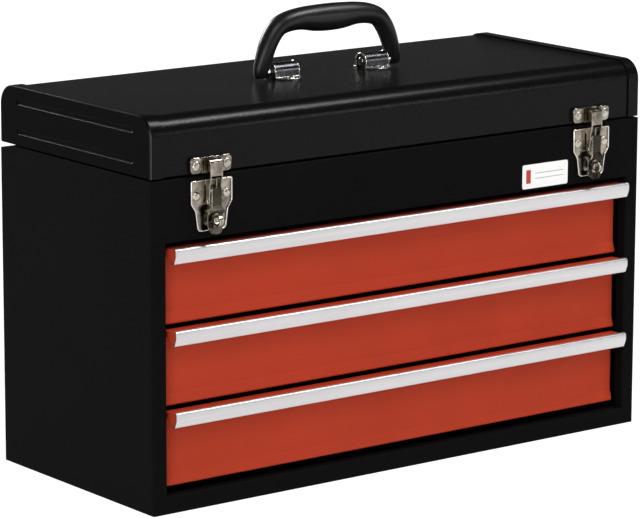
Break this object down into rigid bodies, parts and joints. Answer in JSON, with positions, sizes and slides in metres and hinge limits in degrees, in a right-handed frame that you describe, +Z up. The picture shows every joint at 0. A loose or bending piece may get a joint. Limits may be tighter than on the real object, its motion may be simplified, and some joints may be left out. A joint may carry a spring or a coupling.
{
  "type": "portable tool box with drawers",
  "caption": "Portable steel tool box with a hinged lid over a till, red drawers on ball slides, two draw latches and a folding top handle.",
  "frame": {"origin": "middle of the cabinet's base, on the surface it stands on", "axes": "+X to the right along the length, +Y to the back, +Z up; the drawers open towards -Y"},
  "size_m": [0.51, 0.2404, 0.3784],
  "materials": {
    "black_powder_coat": "satin",
    "red_powder_coat": "satin",
    "anodised_aluminium": "satin",
    "zinc_plated_steel": "satin",
    "nickel_plated_steel": "gloss",
    "chrome_plated_steel": "mirror",
    "black_moulded_plastic": "satin",
    "white_vinyl": "matte"
  },
  "bodies": {
    "cabinet": {"cabinet_shell": "black_powder_coat", "bottom_pan": "black_powder_coat", "front_frame": "black_powder_coat", "till_floor": "black_powder_coat", "upright_front_left": "black_powder_coat", "upright_rear_left": "black_powder_coat", "upright_front_right": "black_powder_coat", "upright_rear_right": "black_powder_coat", "outer_rails_1": "zinc_plated_steel", "outer_rails_2": "zinc_plated_steel", "outer_rails_3": "zinc_plated_steel", "hinge_leaf_cabinet": "black_powder_coat", "hinge_pin": "zinc_plated_steel", "label_plate": "white_vinyl", "latch_plate_left": "nickel_plated_steel", "latch_plate_right": "nickel_plated_steel", "padlock_eye_left": "nickel_plated_steel", "padlock_eye_right": "nickel_plated_steel", "plate_rivets": "nickel_plated_steel", "lever_pins": "nickel_plated_steel", "stay_stud": "zinc_plated_steel"},
    "lid": {"lid_skin": "black_powder_coat", "lid_cap_left": "black_powder_coat", "lid_cap_right": "black_powder_coat", "catch_left": "nickel_plated_steel", "catch_right": "nickel_plated_steel", "catch_rivets": "nickel_plated_steel", "handle_bracket_left": "chrome_plated_steel", "handle_bracket_right": "chrome_plated_steel", "bracket_rivets": "chrome_plated_steel", "stay_pivot": "zinc_plated_steel", "hinge_leaf_lid": "black_powder_coat"},
    "handle": {"handle_grip": "black_moulded_plastic", "handle_bushes": "black_moulded_plastic", "handle_pins": "zinc_plated_steel"},
    "stay": {"lid_stay": "zinc_plated_steel"},
    "drawer_1": {"drawer_pan_1": "black_powder_coat", "drawer_front_1": "red_powder_coat", "drawer_pull_1": "anodised_aluminium", "inner_rails_1": "zinc_plated_steel"},
    "drawer_2": {"drawer_pan_2": "black_powder_coat", "drawer_front_2": "red_powder_coat", "drawer_pull_2": "anodised_aluminium", "inner_rails_2": "zinc_plated_steel"},
    "drawer_3": {"drawer_pan_3": "black_powder_coat", "drawer_front_3": "red_powder_coat", "drawer_pull_3": "anodised_aluminium", "inner_rails_3": "zinc_plated_steel"},
    "ball_cage_1": {"ball_cages_1": "zinc_plated_steel"},
    "ball_cage_2": {"ball_cages_2": "zinc_plated_steel"},
    "ball_cage_3": {"ball_cages_3": "zinc_plated_steel"},
    "lever_left": {"lever_left": "nickel_plated_steel", "arm_pin_left": "nickel_plated_steel"},
    "lever_right": {"lever_right": "nickel_plated_steel", "arm_pin_right": "nickel_plated_steel"},
    "arm_left": {"draw_arm_left": "nickel_plated_steel"},
    "arm_right": {"draw_arm_right": "nickel_plated_steel"}
  },
  "joints": [
    {"name": "lid_hinge", "type": "hinge", "parent": "cabinet", "child": "lid", "pos_m": [0, 0.1122, 0.2712], "axis": [-1, 0, 0], "range_deg": [0, 95]},
    {"name": "stay_swing", "type": "hinge", "parent": "lid", "child": "stay", "pos_m": [-0.2457, 0.08481, 0.277], "axis": [-1, 0, 0], "range_deg": [-48, 0.5]},
    {"name": "handle_fold", "type": "hinge", "parent": "lid", "child": "handle", "pos_m": [0, 0, 0.3254], "axis": [1, 0, 0], "range_deg": [-80, 80]},
    {"name": "drawer_1_slide", "type": "slide", "parent": "cabinet", "child": "drawer_1", "axis": [0, -1, 0], "range_m": [0, 0.14]},
    {"name": "ball_cage_1_roll", "type": "slide", "parent": "cabinet", "child": "ball_cage_1", "axis": [0, -1, 0], "range_m": [0, 0.0705]},
    {"name": "drawer_2_slide", "type": "slide", "parent": "cabinet", "child": "drawer_2", "axis": [0, -1, 0], "range_m": [0, 0.14]},
    {"name": "ball_cage_2_roll", "type": "slide", "parent": "cabinet", "child": "ball_cage_2", "axis": [0, -1, 0], "range_m": [0, 0.0705]},
    {"name": "drawer_3_slide", "type": "slide", "parent": "cabinet", "child": "drawer_3", "axis": [0, -1, 0], "range_m": [0, 0.14]},
    {"name": "ball_cage_3_roll", "type": "slide", "parent": "cabinet", "child": "ball_cage_3", "axis": [0, -1, 0], "range_m": [0, 0.0705]},
    {"name": "lever_left_lift", "type": "hinge", "parent": "cabinet", "child": "lever_left", "pos_m": [-0.199, -0.116, 0.2589], "axis": [-1, 0, 0], "range_deg": [0, 95]},
    {"name": "arm_left_swing", "type": "hinge", "parent": "lever_left", "child": "arm_left", "pos_m": [-0.199, -0.1145, 0.2499], "axis": [-1, 0, 0], "range_deg": [-107, 0.5]},
    {"name": "lever_right_lift", "type": "hinge", "parent": "cabinet", "child": "lever_right", "pos_m": [0.199, -0.116, 0.2589], "axis": [-1, 0, 0], "range_deg": [0, 95]},
    {"name": "arm_right_swing", "type": "hinge", "parent": "lever_right", "child": "arm_right", "pos_m": [0.199, -0.1145, 0.2499], "axis": [-1, 0, 0], "range_deg": [-107, 0.5]}
  ],
  "couplings": [
    {"joint": "stay_swing", "follows": "lid_hinge", "ratio": -0.5},
    {"joint": "ball_cage_1_roll", "follows": "drawer_1_slide", "ratio": 0.5},
    {"joint": "ball_cage_2_roll", "follows": "drawer_2_slide", "ratio": 0.5},
    {"joint": "ball_cage_3_roll", "follows": "drawer_3_slide", "ratio": 0.5},
    {"joint": "arm_left_swing", "follows": "lever_left_lift", "ratio": -1.12},
    {"joint": "arm_right_swing", "follows": "lever_right_lift", "ratio": -1.12}
  ]
}
